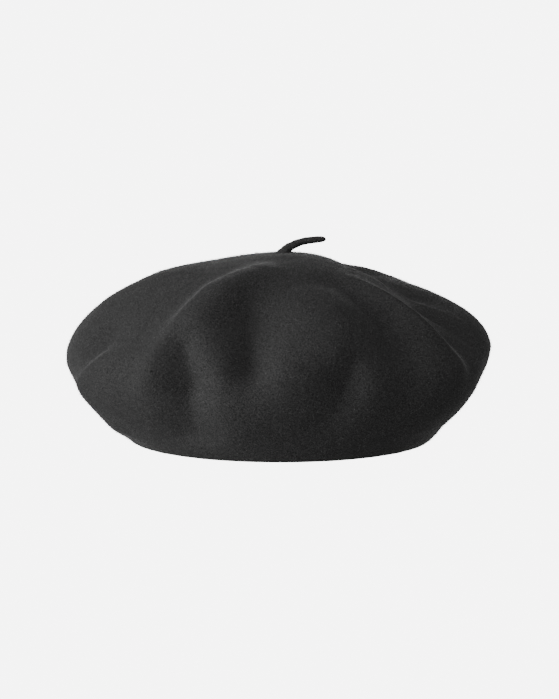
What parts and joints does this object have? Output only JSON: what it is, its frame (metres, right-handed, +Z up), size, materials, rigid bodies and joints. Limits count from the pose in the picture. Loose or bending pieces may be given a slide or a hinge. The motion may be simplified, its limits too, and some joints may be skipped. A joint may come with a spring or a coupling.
{
  "type": "beret",
  "caption": "Soft round felt beret with a stalk on top, a turned-in hem, a satin lining, and a leather sweatband with a small bow.",
  "frame": {"origin": "under the middle of the rim, in the plane that the hem stands on", "axes": "+Z up through the crown; -Y towards the wearer's face; +X to the right of someone who looks at that face"},
  "size_m": [0.2582, 0.2553, 0.1229],
  "materials": {
    "felt": "matte felted wool, charcoal black",
    "satin": "black satin",
    "leather": "smooth dark leather",
    "ribbon": "black satin ribbon",
    "thread": "dark grey thread",
    "woven_label": "blank woven label, off-white"
  },
  "bodies": {
    "body": {"felt_crown": "felt", "stalk_anchor": "thread", "lining_tip": "satin", "lining_side": "satin", "lining_seam_thread": "thread", "sweatband": "leather", "sweatband_thread": "thread", "joint_tape": "ribbon", "bow_loops": "ribbon", "bow_knot": "ribbon", "label_stitch": "thread"},
    "stalk": {"stalk": "felt"},
    "size_label": {"size_label": "woven_label"}
  },
  "joints": [
    {"name": "stalk_bend", "type": "hinge", "parent": "body", "child": "stalk", "pos_m": [0.0042, 0, 0.113], "axis": [0, -1, 0], "range_deg": [-5, 80], "stiffness_Nm_per_rad": 0.002},
    {"name": "size_label_flap", "type": "hinge", "parent": "body", "child": "size_label", "pos_m": [-0.08245, 0, 0.023], "axis": [0, -1, 0], "range_deg": [0, 110]}
  ]
}
